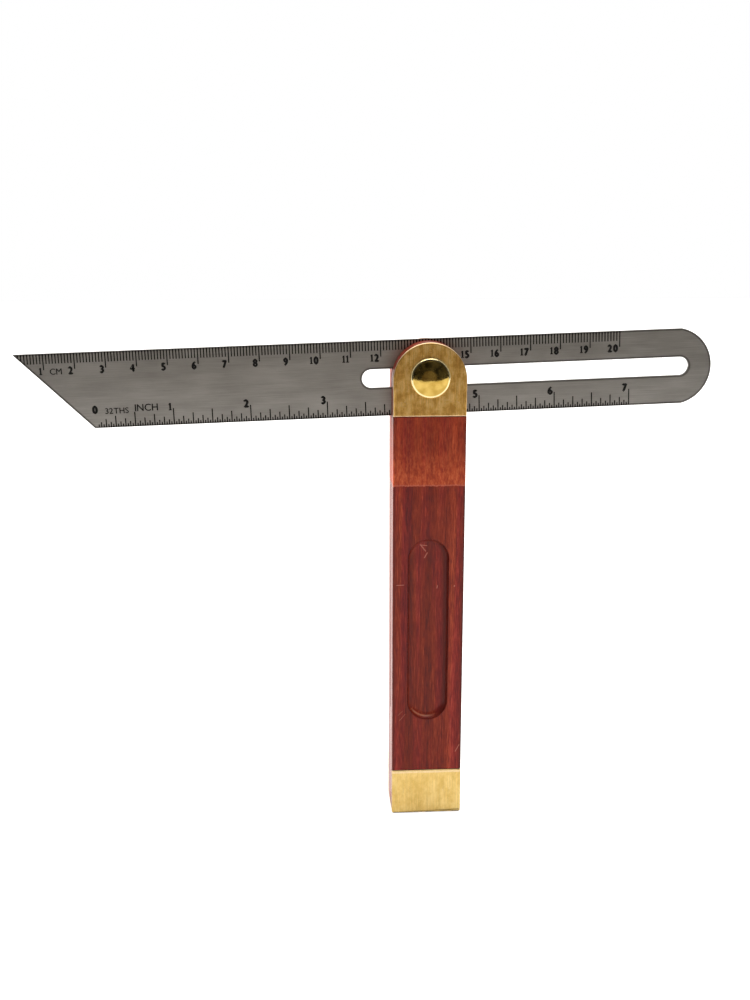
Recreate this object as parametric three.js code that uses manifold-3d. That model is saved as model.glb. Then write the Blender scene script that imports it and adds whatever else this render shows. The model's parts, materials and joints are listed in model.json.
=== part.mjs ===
// A sliding T-bevel: a slotted steel rule blade clamped in the sawn head of a hardwood stock.
// Millimetres. The stock stands along +Z, the blade lies along X and the front faces -Y.
// The origin is the middle of the end cap's bottom face.
import * as THREE from "three";
import { mergeVertices } from "three/addons/utils/BufferGeometryUtils.js";
import Module from "manifold-3d";

// Stock
const STOCK_WIDTH = 24.3;
const STOCK_THICKNESS = 17;
const PIVOT_HEIGHT = 155;
const HEAD_ARC_DROP = 0.65; // the head's arc is centred this far below the bolt's axis
const STOCK_ARRIS = 0.5; // small rounding along the wood's long edges
const KERF_WIDTH = 1.8;
const KERF_DEPTH_BELOW_PIVOT = 118;

// Thumb groove, one on each face
const GROOVE_WIDTH = 14;
const GROOVE_LENGTH = 65;
const GROOVE_DEPTH = 2.2;
const GROOVE_CENTRE_BELOW_PIVOT = 87;

// Brass facings
const PLATE_THICKNESS = 1.5;
const PLATE_BELOW_PIVOT = 12.8;
const PLATE_EDGE_BEVEL = 0.35;
const CAP_HEIGHT = 16.4;
const CAP_PROUD = 0.2; // the cap stands this far out of the wood's faces
const CAP_BEND_RADIUS = 1.6;
const CAP_CORNER_RADIUS = 1.2;
const JOINT_LINE = 0.1; // gap between pieces that are fitted to each other

// Pins and rivets
const PIN_RADIUS = 0.8;
const PIN_LENGTH = 5;
const PIN_TOP_ABOVE_PIVOT = 9.1;
const PIN_SIDE_X = 8.6;
const PIN_SIDE_BELOW_PIVOT = 8.6;
const RIVET_RADIUS = 1.2;
const RIVET_X = 7;
const RIVET_HEIGHT = 9;
const PIN_CLEARANCE = 0.03;

// Blade, measured along its length from the zero of its centimetre scale
const BLADE_WIDTH = 25.1;
const BLADE_THICKNESS = 1.2;
const BLADE_TIP = 0.4; // the sharp tip is this far short of zero
const BLADE_LENGTH = 231.2;
const BLADE_END_RADIUS = 12.9;
const BLADE_BEVEL_RUN = 24.5; // the slanted end runs this far along the blade
const SLOT_WIDTH = 6.2;
const SLOT_START = 113.5;
const SLOT_END = 223.6;
const PIVOT_ALONG_BLADE = 135.5;
const BLADE_TILT = THREE.MathUtils.degToRad(1.9); // the blade is set this far off square
const BLADE_HANG = 0.5; // its middle is this far below the bolt's axis: it hangs by its slot

// Pivot bolt
const DOME_RADIUS = 6.65;
const DOME_RIM = 0.45;
const DOME_HEIGHT = 2.5;
const SHANK_RADIUS = 3.5;
const FLATS_WIDTH = 5;
const THREAD_RADIUS = 3;
const BOLT_END_BEYOND_BACK = 12;
const BOLT_END_BEVEL = 0.5;
const TURNING_CLEARANCE = 0.15;

// Washer and wing nut
const WASHER_RADIUS = 6.5;
const WASHER_THICKNESS = 1.2;
const WASHER_BEVEL = 0.2;
const NUT_HEIGHT = 7;
const NUT_BASE_RADIUS = 5;
const NUT_TOP_RADIUS = 4;
const NUT_SKIRT = 1.2;
const NUT_EDGE_BEVEL = 0.5;
const NUT_BORE_CLEARANCE = 0.12;
const WING_THICKNESS = 2;
const WING_BEVEL = 0.4;
const WING_FOOT = 0.6; // the wings start this far up the hub
const WING_EAR_RADIUS = 3.6;
const WING_EAR_OUT = 8.2; // the ear's centre, out from the axis
const WING_EAR_UP = 7.4; // the ear's centre, up from the nut's base
const WING_ANGLE = THREE.MathUtils.degToRad(45);

const HALF_WIDTH = STOCK_WIDTH / 2;
const FRONT = -STOCK_THICKNESS / 2;
const BACK = STOCK_THICKNESS / 2;
const HEAD_ARC_Z = PIVOT_HEIGHT - HEAD_ARC_DROP;
const PLATE_BOTTOM = PIVOT_HEIGHT - PLATE_BELOW_PIVOT;
const ROUND_SEGMENTS = 48;
const PIN_SEGMENTS = 16;

const wasm = await Module();
wasm.setup();

// ---- helpers ----

function solid(geometry) {
  const bare = geometry.clone();
  bare.deleteAttribute("normal");
  bare.deleteAttribute("uv");
  const merged = mergeVertices(bare, 1e-4);
  return new wasm.Manifold(
    new wasm.Mesh({
      numProp: 3,
      vertProperties: merged.attributes.position.array,
      triVerts: new Uint32Array(merged.index.array),
    }),
  );
}

function geometryOf(body) {
  const mesh = body.getMesh();
  const geometry = new THREE.BufferGeometry();
  geometry.setAttribute("position", new THREE.BufferAttribute(mesh.vertProperties, 3));
  geometry.setIndex(new THREE.BufferAttribute(mesh.triVerts, 1));
  return geometry;
}

// An outline drawn in X (across) and Z (up), made solid from y = front to y = back.
function slab(outline, front, back, bevel = 0) {
  const geometry = new THREE.ExtrudeGeometry(outline, {
    depth: back - front - 2 * bevel,
    bevelEnabled: bevel > 0,
    bevelThickness: bevel,
    bevelSize: bevel,
    bevelOffset: -bevel,
    bevelSegments: 2,
    curveSegments: ROUND_SEGMENTS / 3,
  });
  geometry.rotateX(Math.PI / 2);
  geometry.translate(0, back - bevel, 0);
  return solid(geometry);
}

function block(x0, x1, y0, y1, z0, z1) {
  const geometry = new THREE.BoxGeometry(x1 - x0, y1 - y0, z1 - z0);
  geometry.translate((x0 + x1) / 2, (y0 + y1) / 2, (z0 + z1) / 2);
  return solid(geometry);
}

// A round bar along Y, centred on (x, z).
function bar(radius, front, back, x = 0, z = 0, segments = ROUND_SEGMENTS) {
  const geometry = new THREE.CylinderGeometry(radius, radius, back - front, segments);
  geometry.translate(x, (front + back) / 2, z);
  return solid(geometry);
}

function turned(profile) {
  const points = profile.map(([radius, y]) => new THREE.Vector2(radius, y));
  return solid(new THREE.LatheGeometry(points, ROUND_SEGMENTS));
}

function obround(width, length) {
  const radius = width / 2;
  const half = length / 2 - radius;
  const shape = new THREE.Shape();
  shape.moveTo(radius, -half);
  shape.lineTo(radius, half);
  shape.absarc(0, half, radius, 0, Math.PI);
  shape.lineTo(-radius, -half);
  shape.absarc(0, -half, radius, Math.PI, 2 * Math.PI);
  return shape;
}

// The stock's front outline: straight sides under a round head.
function headedOutline(bottom) {
  const shape = new THREE.Shape();
  shape.moveTo(-HALF_WIDTH, bottom);
  shape.lineTo(HALF_WIDTH, bottom);
  shape.lineTo(HALF_WIDTH, HEAD_ARC_Z);
  shape.absarc(0, HEAD_ARC_Z, HALF_WIDTH, 0, Math.PI);
  shape.lineTo(-HALF_WIDTH, bottom);
  return shape;
}

const PIN_PLACES = {
  top: [0, PIVOT_HEIGHT + PIN_TOP_ABOVE_PIVOT],
  left: [-PIN_SIDE_X, PIVOT_HEIGHT - PIN_SIDE_BELOW_PIVOT],
  right: [PIN_SIDE_X, PIVOT_HEIGHT - PIN_SIDE_BELOW_PIVOT],
};
const RIVET_PLACES = { left: -RIVET_X, right: RIVET_X };

// The holes for every pin and rivet, a little wider than the pins themselves.
function pinHoles() {
  const radius = PIN_RADIUS + PIN_CLEARANCE;
  const reach = PIN_LENGTH + JOINT_LINE;
  const holes = [];
  for (const [x, z] of Object.values(PIN_PLACES)) {
    holes.push(bar(radius, FRONT - 1, FRONT + reach, x, z, PIN_SEGMENTS));
    holes.push(bar(radius, BACK - reach, BACK + 1, x, z, PIN_SEGMENTS));
  }
  const rivetHole = RIVET_RADIUS + PIN_CLEARANCE;
  for (const x of Object.values(RIVET_PLACES)) {
    holes.push(bar(rivetHole, FRONT - 1, BACK + 1, x, RIVET_HEIGHT, PIN_SEGMENTS));
  }
  return holes;
}

function cut(body, cutters) {
  return cutters.reduce((rest, cutter) => rest.subtract(cutter), body);
}

// ---- stock ----

function grooveCutters() {
  const cove = GROOVE_DEPTH;
  const outline = obround(GROOVE_WIDTH - 2 * cove, GROOVE_LENGTH - 2 * cove);
  const geometry = new THREE.ExtrudeGeometry(outline, {
    depth: cove,
    bevelThickness: cove,
    bevelSize: cove,
    bevelSegments: 4,
    curveSegments: 10,
  });
  geometry.rotateX(Math.PI / 2);
  geometry.translate(0, 0, PIVOT_HEIGHT - GROOVE_CENTRE_BELOW_PIVOT);
  const front = geometry.clone().translate(0, FRONT, 0);
  const back = geometry.clone().translate(0, BACK + cove, 0);
  return [solid(front), solid(back)];
}

function stockBody() {
  const inlay = PLATE_THICKNESS + JOINT_LINE;
  const far = STOCK_WIDTH;
  const top = PIVOT_HEIGHT + far;
  const plateLine = PLATE_BOTTOM - JOINT_LINE;
  const capLine = CAP_HEIGHT + JOINT_LINE;
  const capInlay = inlay - CAP_PROUD;
  return cut(slab(headedOutline(inlay), FRONT, BACK, STOCK_ARRIS), [
    block(-far, far, -KERF_WIDTH / 2, KERF_WIDTH / 2, PIVOT_HEIGHT - KERF_DEPTH_BELOW_PIVOT, top),
    block(-far, far, FRONT - 1, FRONT + inlay, plateLine, top),
    block(-far, far, BACK - inlay, BACK + 1, plateLine, top),
    block(-far, far, FRONT - 1, FRONT + capInlay, -1, capLine),
    block(-far, far, BACK - capInlay, BACK + 1, -1, capLine),
    bar(SHANK_RADIUS + TURNING_CLEARANCE, FRONT - 1, 0, 0, PIVOT_HEIGHT),
    bar(THREAD_RADIUS + TURNING_CLEARANCE, 0, BACK + 1, 0, PIVOT_HEIGHT),
    ...grooveCutters(),
    ...pinHoles(),
  ]);
}

function headPlate(front, back, holeRadius) {
  return cut(slab(headedOutline(PLATE_BOTTOM), front, back, PLATE_EDGE_BEVEL), [
    bar(holeRadius + TURNING_CLEARANCE, front - 1, back + 1, 0, PIVOT_HEIGHT),
    ...pinHoles(),
  ]);
}

// The cap is a strap bent to a U over the stock's end: a side profile with bent corners, crossed with
// a front outline with rounded bottom corners.
function endCap() {
  const outer = BACK + CAP_PROUD;
  const inner = outer - PLATE_THICKNESS;
  const profile = new THREE.Shape();
  profile.moveTo(-outer, CAP_HEIGHT);
  profile.lineTo(-outer, CAP_BEND_RADIUS);
  profile.absarc(-outer + CAP_BEND_RADIUS, CAP_BEND_RADIUS, CAP_BEND_RADIUS, Math.PI, 1.5 * Math.PI);
  profile.absarc(outer - CAP_BEND_RADIUS, CAP_BEND_RADIUS, CAP_BEND_RADIUS, -Math.PI / 2, 0);
  profile.lineTo(outer, CAP_HEIGHT);
  profile.lineTo(inner, CAP_HEIGHT);
  profile.lineTo(inner, PLATE_THICKNESS);
  profile.lineTo(-inner, PLATE_THICKNESS);
  profile.lineTo(-inner, CAP_HEIGHT);
  const strap = new THREE.ExtrudeGeometry(profile, {
    depth: STOCK_WIDTH,
    bevelEnabled: false,
    curveSegments: 6,
  });
  strap.rotateX(Math.PI / 2);
  strap.rotateZ(Math.PI / 2);
  strap.translate(-HALF_WIDTH, 0, 0);

  const radius = CAP_CORNER_RADIUS;
  const outline = new THREE.Shape();
  outline.moveTo(-HALF_WIDTH, CAP_HEIGHT + 1);
  outline.lineTo(-HALF_WIDTH, radius);
  outline.absarc(-HALF_WIDTH + radius, radius, radius, Math.PI, 1.5 * Math.PI);
  outline.absarc(HALF_WIDTH - radius, radius, radius, -Math.PI / 2, 0);
  outline.lineTo(HALF_WIDTH, CAP_HEIGHT + 1);
  return cut(solid(strap).intersect(slab(outline, -outer - 1, outer + 1)), pinHoles());
}

function platePin(front, place) {
  const [x, z] = PIN_PLACES[place];
  return bar(PIN_RADIUS, front, front + PIN_LENGTH, x, z, PIN_SEGMENTS);
}

function capRivet(side) {
  const front = FRONT - CAP_PROUD;
  const back = BACK + CAP_PROUD;
  return bar(RIVET_RADIUS, front, back, RIVET_PLACES[side], RIVET_HEIGHT, PIN_SEGMENTS);
}

// ---- moving pieces, drawn about the pivot with the blade square ----

function blade() {
  const half = BLADE_WIDTH / 2;
  const tip = BLADE_TIP - PIVOT_ALONG_BLADE;
  const arcX = BLADE_LENGTH - PIVOT_ALONG_BLADE - BLADE_END_RADIUS;
  const arcAngle = Math.asin(half / BLADE_END_RADIUS);
  const outline = new THREE.Shape();
  outline.moveTo(tip, half);
  outline.lineTo(tip + BLADE_BEVEL_RUN, -half);
  outline.absarc(arcX, 0, BLADE_END_RADIUS, -arcAngle, arcAngle);
  outline.lineTo(tip, half);

  const slot = obround(SLOT_WIDTH, SLOT_END - SLOT_START);
  const slotMiddle = (SLOT_START + SLOT_END) / 2 - PIVOT_ALONG_BLADE;
  const hole = new THREE.Path(
    slot.getPoints(ROUND_SEGMENTS / 4).map((point) => new THREE.Vector2(point.y + slotMiddle, point.x)),
  );
  outline.holes.push(hole);
  return slab(outline, -BLADE_THICKNESS / 2, BLADE_THICKNESS / 2);
}

function pivotBolt() {
  const seat = FRONT - JOINT_LINE;
  const end = BACK + BOLT_END_BEYOND_BACK;
  const flatsFront = -KERF_WIDTH / 2;
  const flatsBack = KERF_WIDTH / 2;
  const sphere = (DOME_RADIUS ** 2 + DOME_HEIGHT ** 2) / (2 * DOME_HEIGHT);
  const domeSteps = 7;
  const profile = [[0, end], [THREAD_RADIUS - BOLT_END_BEVEL, end]];
  profile.push([THREAD_RADIUS, end - BOLT_END_BEVEL]);
  profile.push([THREAD_RADIUS, flatsBack], [SHANK_RADIUS, flatsBack], [SHANK_RADIUS, seat]);
  profile.push([DOME_RADIUS, seat], [DOME_RADIUS, seat - DOME_RIM]);
  for (let step = 1; step <= domeSteps; step += 1) {
    const radius = DOME_RADIUS * (1 - step / domeSteps);
    const rise = Math.sqrt(sphere ** 2 - radius ** 2) - (sphere - DOME_HEIGHT);
    profile.push([radius, seat - DOME_RIM - rise]);
  }
  const wide = 2 * SHANK_RADIUS;
  const half = FLATS_WIDTH / 2;
  return cut(turned(profile.reverse()), [
    block(-wide, wide, flatsFront, flatsBack, half, wide),
    block(-wide, wide, flatsFront, flatsBack, -wide, -half),
  ]);
}

function washer() {
  const front = BACK + JOINT_LINE;
  const hole = THREAD_RADIUS + TURNING_CLEARANCE;
  const back = front + WASHER_THICKNESS;
  return turned([
    [hole, front],
    [WASHER_RADIUS - WASHER_BEVEL, front],
    [WASHER_RADIUS, front + WASHER_BEVEL],
    [WASHER_RADIUS, back - WASHER_BEVEL],
    [WASHER_RADIUS - WASHER_BEVEL, back],
    [hole, back],
    [hole, front],
  ]);
}

// One ear of the wing nut, out along +X or -X.
function wing(side, base) {
  const inside = NUT_TOP_RADIUS / 2;
  const foot = base + WING_FOOT;
  const earFrom = THREE.MathUtils.degToRad(-50);
  const earTo = THREE.MathUtils.degToRad(130);
  const outline = new THREE.Shape();
  outline.moveTo(inside, foot);
  outline.lineTo(NUT_BASE_RADIUS, foot);
  outline.absarc(WING_EAR_OUT, base + WING_EAR_UP, WING_EAR_RADIUS, earFrom, earTo);
  outline.lineTo(inside, base + NUT_HEIGHT - WING_FOOT);
  const depth = WING_THICKNESS - 2 * WING_BEVEL;
  const geometry = new THREE.ExtrudeGeometry(outline, {
    depth,
    bevelThickness: WING_BEVEL,
    bevelSize: WING_BEVEL,
    bevelOffset: -WING_BEVEL,
    bevelSegments: 2,
    curveSegments: 12,
  });
  geometry.translate(0, 0, -depth / 2);
  if (side < 0) {
    geometry.rotateY(Math.PI);
  }
  return solid(geometry);
}

function wingNut() {
  const base = BACK + 2 * JOINT_LINE + WASHER_THICKNESS;
  const top = base + NUT_HEIGHT;
  const hub = turned([
    [0, base],
    [NUT_BASE_RADIUS, base],
    [NUT_BASE_RADIUS, base + NUT_SKIRT],
    [NUT_TOP_RADIUS, top - NUT_EDGE_BEVEL],
    [NUT_TOP_RADIUS - NUT_EDGE_BEVEL, top],
    [0, top],
  ]);
  const bore = bar(THREAD_RADIUS + NUT_BORE_CLEARANCE, base - 1, top + 1);
  return hub.add(wing(1, base)).add(wing(-1, base)).subtract(bore);
}

// ---- the scene graph ----

const WOOD = new THREE.MeshStandardMaterial({ color: 0x76332b, roughness: 0.5, metalness: 0 });
const BRASS = new THREE.MeshStandardMaterial({ color: 0xb5924a, roughness: 0.35, metalness: 1 });
const POLISHED_BRASS = new THREE.MeshStandardMaterial({ color: 0xd0a94e, roughness: 0.12, metalness: 1 });
const STEEL = new THREE.MeshStandardMaterial({ color: 0x84827e, roughness: 0.38, metalness: 1 });

function node(name, body, material) {
  const mesh = new THREE.Mesh(geometryOf(body), material);
  mesh.name = name;
  return mesh;
}

function stockGroup() {
  const group = new THREE.Group();
  group.add(node("stock_body", stockBody(), WOOD));
  group.add(node("head_plate_front", headPlate(FRONT, FRONT + PLATE_THICKNESS, SHANK_RADIUS), BRASS));
  group.add(node("head_plate_back", headPlate(BACK - PLATE_THICKNESS, BACK, THREAD_RADIUS), BRASS));
  group.add(node("end_cap", endCap(), BRASS));
  for (const place of Object.keys(PIN_PLACES)) {
    group.add(node(`plate_pin_front_${place}`, platePin(FRONT, place), BRASS));
    group.add(node(`plate_pin_back_${place}`, platePin(BACK - PIN_LENGTH, place), BRASS));
  }
  for (const side of Object.keys(RIVET_PLACES)) {
    group.add(node(`cap_rivet_${side}`, capRivet(side), BRASS));
  }
  return group;
}

function swingingGroup() {
  const group = new THREE.Group();
  group.position.z = PIVOT_HEIGHT;
  group.rotation.y = -BLADE_TILT;
  const steel = node("blade", blade(), STEEL);
  steel.position.z = -BLADE_HANG;
  group.add(steel);
  group.add(node("pivot_bolt", pivotBolt(), POLISHED_BRASS));
  group.add(node("washer", washer(), BRASS));
  const nut = node("wing_nut", wingNut(), POLISHED_BRASS);
  nut.rotation.y = WING_ANGLE;
  group.add(nut);
  return group;
}

const bevel = new THREE.Group();
bevel.add(stockGroup(), swingingGroup());

export default bevel;
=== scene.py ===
"""The looks of a sliding T-bevel: fine meshes, materials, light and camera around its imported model."""

import json
import math

import bmesh
import bpy
from mathutils import Matrix, Vector

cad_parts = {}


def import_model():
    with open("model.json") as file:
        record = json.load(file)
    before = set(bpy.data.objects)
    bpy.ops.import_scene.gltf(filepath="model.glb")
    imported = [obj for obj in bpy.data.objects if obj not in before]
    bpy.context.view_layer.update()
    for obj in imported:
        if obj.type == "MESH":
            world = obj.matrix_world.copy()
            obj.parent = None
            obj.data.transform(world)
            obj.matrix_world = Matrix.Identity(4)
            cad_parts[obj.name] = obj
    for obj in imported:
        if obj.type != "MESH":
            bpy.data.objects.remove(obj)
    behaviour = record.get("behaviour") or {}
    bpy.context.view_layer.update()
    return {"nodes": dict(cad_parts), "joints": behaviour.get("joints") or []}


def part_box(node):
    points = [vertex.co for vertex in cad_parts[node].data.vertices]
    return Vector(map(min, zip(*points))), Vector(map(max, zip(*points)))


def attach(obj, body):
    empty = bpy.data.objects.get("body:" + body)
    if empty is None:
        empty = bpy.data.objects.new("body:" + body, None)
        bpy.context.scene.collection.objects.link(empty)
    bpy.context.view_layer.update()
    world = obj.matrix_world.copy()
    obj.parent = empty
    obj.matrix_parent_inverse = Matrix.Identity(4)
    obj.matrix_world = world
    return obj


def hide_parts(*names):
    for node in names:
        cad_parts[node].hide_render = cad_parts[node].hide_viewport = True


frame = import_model()
scene = bpy.context.scene

MM = 0.001

# ---- places from the frame ----

joints = {joint["name"]: joint for joint in frame["joints"]}
PIVOT = Vector(joints["blade_swing"]["pos_m"])
SLIDE_AXIS = Vector(joints["blade_slide"]["axis"])
BLADE_TILT = math.atan2(SLIDE_AXIS.z, SLIDE_AXIS.x)
# Moving pieces are drawn square about the pivot, then placed with the blade's tilt.
SWUNG = Matrix.Translation(PIVOT) @ Matrix.Rotation(-BLADE_TILT, 4, "Y")

plate_low, plate_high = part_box("head_plate_front")
cap_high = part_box("end_cap")[1]
washer_low, washer_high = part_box("washer")
nut_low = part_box("wing_nut")[0]
bolt_low, bolt_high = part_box("pivot_bolt")
HALF_WIDTH = plate_high.x
FRONT = plate_low.y
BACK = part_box("head_plate_back")[1].y
PLATE_THICKNESS = plate_high.y - plate_low.y
PLATE_BOTTOM = plate_low.z
HEAD_ARC_Z = plate_high.z - HALF_WIDTH
CAP_TOP = cap_high.z
CAP_OUT = cap_high.y
STOCK_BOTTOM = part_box("stock_body")[0].z

# ---- sizes ----

JOINT_LINE = 0.1 * MM
CAP_JOINT = 0.22 * MM
STOCK_ARRIS = 0.5 * MM
KERF_WIDTH = 1.8 * MM
KERF_DEPTH_BELOW_PIVOT = 118 * MM
PLATE_EDGE_RADIUS = 0.5 * MM
GROOVE_WIDTH = 14 * MM
GROOVE_LENGTH = 65 * MM
GROOVE_DEPTH = 2.2 * MM
GROOVE_CENTRE_BELOW_PIVOT = 87 * MM
GROOVE_COVE_STEPS = 12
SANDED_BELOW_PIVOT = 36.2 * MM  # the wood round the head was sanded bare down to here

CAP_BEND_RADIUS = 0.9 * MM
CAP_CORNER_RADIUS = 0.9 * MM
CAP_EDGE_RADIUS = 0.45 * MM
CAP_BEND_STEPS = 12

PIN_RADIUS = 0.8 * MM
PIN_LENGTH = 5 * MM
RIVET_RADIUS = 1.2 * MM
PIN_CLEARANCE = 0.03 * MM

BLADE_WIDTH = 25.1 * MM
BLADE_THICKNESS = 1.2 * MM
BLADE_TIP = 0.4 * MM  # the sharp tip, from the zero of the centimetre scale
BLADE_LENGTH = 231.19 * MM  # to the rounded end, from the same zero
BLADE_END_RADIUS = 12.9 * MM
BLADE_BEVEL_RUN = 24.5 * MM
BLADE_EDGE_RADIUS = 0.08 * MM
SLOT_WIDTH = 6.2 * MM
SLOT_START = 113.5 * MM
SLOT_END = 223.6 * MM
PIVOT_ALONG_BLADE = 135.5 * MM
BLADE_HANG = 0.5 * MM  # the blade's middle is this far below the bolt's axis
BLADE_PLACE = SWUNG @ Matrix.Translation((0, 0, -BLADE_HANG))

DOME_RADIUS = 6.65 * MM
DOME_RIM = 0.65 * MM
DOME_HEIGHT = FRONT - JOINT_LINE - DOME_RIM - bolt_low.y
DOME_STEPS = 24
DOME_RIM_STEPS = 6
SHANK_RADIUS = 3.5 * MM
FLATS_WIDTH = 5 * MM
THREAD_RADIUS = 3 * MM
THREAD_PITCH = 1 * MM
THREAD_DEPTH = 0.55 * MM
THREAD_CORE = THREAD_RADIUS - THREAD_DEPTH
THREAD_LEVELS = 6  # rings to a turn
THREAD_WELD = 0.0005 * MM
BOLT_END_BEVEL = 0.5 * MM
TURNING_CLEARANCE = 0.15 * MM

WASHER_RADIUS = 6.5 * MM
WASHER_EDGE_RADIUS = 0.2 * MM
NUT_HEIGHT = 7 * MM
NUT_BASE_RADIUS = 5 * MM
NUT_TOP_RADIUS = 4 * MM
NUT_SKIRT = 1.2 * MM
NUT_EDGE_BEVEL = 0.5 * MM
NUT_BORE_CLEARANCE = 0.12 * MM
WING_THICKNESS = 2 * MM
WING_EDGE_RADIUS = 0.4 * MM
WING_FOOT = 0.6 * MM
WING_EAR_RADIUS = 3.6 * MM
WING_EAR_OUT = 8.2 * MM
WING_EAR_UP = 7.4 * MM
WING_EAR_START = math.radians(-50)
WING_EAR_STOP = math.radians(130)
WING_ANGLE = math.radians(45)
CASTING_VOXEL = 0.2 * MM
CASTING_SMOOTHINGS = 6

# Scales on the blade's front face, measured from the zero of the centimetre scale and the blade's edges
INK_PROUD = 0.004 * MM
INK_DEPTH = 0.03 * MM
INK_THICKNESS = INK_DEPTH + INK_PROUD
INK_Y = -BLADE_THICKNESS / 2 + (INK_DEPTH - INK_PROUD) / 2
TICK_WIDTH = 0.40 * MM
INCH = 25.4 * MM
CM_COUNT = 20
INCH_COUNT = 7
INCH_SCALE_START = 25.5 * MM
MM_TICK = 3.3 * MM
CM_TICK = 5.3 * MM
INCH_TICKS = ((32, 5.6 * MM), (16, 4.9 * MM), (8, 3.9 * MM), (4, 2.9 * MM), (2, 1.9 * MM), (1, 1.2 * MM))
CM_DIGIT_HEIGHT = 2.35 * MM
CM_DIGIT_TOP = 4.5 * MM
CM_DIGIT_GAP = 0.55 * MM
CM_DIGIT_NARROW = 0.82  # of the font's own width
CM_LABEL_HEIGHT = 1.95 * MM
CM_LABEL_END = 15.8 * MM
INCH_DIGIT_HEIGHT = 2.45 * MM
INCH_DIGIT_BOTTOM = 4.9 * MM
INCH_DIGIT_GAP = 0.45 * MM
INCH_DIGIT_NARROW = 0.88
INCH_ZERO_END = 0.8 * MM
# Height, end and bottom of the inch scale's two labels
THIRTY_SECONDS_LABEL = (1.9 * MM, 10.8 * MM, 4.6 * MM)
INCH_LABEL = (2.3 * MM, 20.4 * MM, 5.1 * MM)

# Streaks of the wood: share of the stock's width from its left edge, and tone from dark to light
# the dark stops at 0.52 and 0.73 are painted shade of the groove's floor and right wall, drawn along the
# stock's whole length
WOOD_STREAKS_AND_GROOVE_SHADE = (
    (0.0, 0.50), (0.09, 0.60), (0.21, 0.14), (0.33, 0.48), (0.43, 0.40), (0.52, 0.20),
    (0.60, 0.52), (0.73, 0.34), (0.85, 0.76), (0.93, 0.42), (1.0, 0.50),
)
# Scratches in the front face: x, distance below the pivot, angle in degrees, length and width, in mm
SCRATCHES = (
    (-1.7, 58.0, -52, 3.4, 0.24),
    (-0.7, 60.6, 62, 2.4, 0.22),
    (-1.3, 57.1, -8, 2.2, 0.18),
    (-9.6, 70.4, 2, 2.8, 0.14),
    (3.3, 71.9, 80, 1.2, 0.18),
    (8.9, 71.0, 60, 0.6, 0.24),
    (10.8, 130.5, 62, 3.4, 0.16),
    (-8.6, 118.5, 50, 3.4, 0.07),
    (-9.4, 117.0, 45, 2.4, 0.06),
)

# Figures and letters, in the built-in font's own units
FONT_HEIGHT = 0.7
FONT_GAP = 0.08
BOLD_SHIFT = 0.18
LETTER_SHIFT = 0.035

ROUND_STEPS = 96
WELD = 0.001 * MM
LARGE_FACE_WEIGHT = 80


# ---- mesh helpers ----

def shade(mesh, degrees=35):
    """Smooth faces, with a sharp edge wherever two meet at more than this angle."""
    mesh.shade_smooth()
    mesh.set_sharp_from_angle(angle=math.radians(degrees))


def new_object(name, data):
    obj = bpy.data.objects.new(name, data)
    scene.collection.objects.link(obj)
    return obj


def mesh_object(name, bm):
    bmesh.ops.recalc_face_normals(bm, faces=bm.faces)
    mesh = bpy.data.meshes.new(name)
    bm.to_mesh(mesh)
    bm.free()
    shade(mesh)
    return new_object(name, mesh)


def shown_mesh(obj):
    """A new mesh of the object as it is shown, with its modifiers applied."""
    bpy.context.view_layer.update()
    shown = obj.evaluated_get(bpy.context.evaluated_depsgraph_get())
    return bpy.data.meshes.new_from_object(shown)


def apply_modifiers(obj):
    mesh = shown_mesh(obj)
    obj.modifiers.clear()
    obj.data = mesh


def bake(obj):
    """Applies the object's modifiers and shades the result by its angles."""
    apply_modifiers(obj)
    shade(obj.data)


def combine(obj, others, operation):
    """Joins the others to the object, or cuts them from it, and removes them."""
    for other in others:
        modifier = obj.modifiers.new("combine", "BOOLEAN")
        modifier.operation = operation
        modifier.solver = "EXACT"
        modifier.object = other
    bake(obj)
    for other in others:
        bpy.data.objects.remove(other)
    return obj


def cut(obj, cutters):
    combine(obj, cutters, "DIFFERENCE")


def even_normals(obj):
    """Large faces keep their own normals, so that only rounded edges shade as round."""
    modifier = obj.modifiers.new("normals", "WEIGHTED_NORMAL")
    modifier.keep_sharp = True
    modifier.weight = LARGE_FACE_WEIGHT
    apply_modifiers(obj)


def round_edges(obj, radius, segments=3, degrees=40):
    modifier = obj.modifiers.new("edges", "BEVEL")
    modifier.width = radius
    modifier.segments = segments
    modifier.limit_method = "ANGLE"
    modifier.angle_limit = math.radians(degrees)
    bake(obj)


def arc(centre, radius, start, end, steps=ROUND_STEPS // 2):
    """Points of a circle from one angle to another, both ends included."""
    points = []
    for step in range(steps + 1):
        angle = start + (end - start) * step / steps
        points.append((centre[0] + radius * math.cos(angle), centre[1] + radius * math.sin(angle)))
    return points


def obround(width, length):
    """A long hole's outline, its length along the second axis."""
    radius = width / 2
    half = length / 2 - radius
    return arc((0, half), radius, 0, math.pi) + arc((0, -half), radius, math.pi, 2 * math.pi)


def push_out(bm, corners, push):
    """Makes one face of the corners and pushes it out to a solid."""
    face = bm.faces.new([bm.verts.new(corner) for corner in corners])
    made = bmesh.ops.extrude_face_region(bm, geom=[face])["geom"]
    moved = [item for item in made if isinstance(item, bmesh.types.BMVert)]
    bmesh.ops.translate(bm, vec=push, verts=moved)


def slab(name, outline, front, back, edge_radius=0.0):
    """An outline in X and Z made solid from y = front to y = back; edge_radius rounds its rims."""
    bm = bmesh.new()
    push_out(bm, [(x, front, z) for x, z in outline], (0, back - front, 0))
    bmesh.ops.remove_doubles(bm, verts=bm.verts, dist=WELD)
    if edge_radius:
        rims = [edge for edge in bm.edges if abs(edge.verts[0].co.y - edge.verts[1].co.y) < WELD]
        bmesh.ops.bevel(
            bm, geom=rims, offset=edge_radius, segments=4, profile=0.5, affect="EDGES", clamp_overlap=True
        )
    return mesh_object(name, bm)


def block(half, y0, y1, z0, z1):
    """A box that reaches as far as half on either side of x = 0."""
    return slab("block", [(-half, z0), (half, z0), (half, z1), (-half, z1)], y0, y1)


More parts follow.
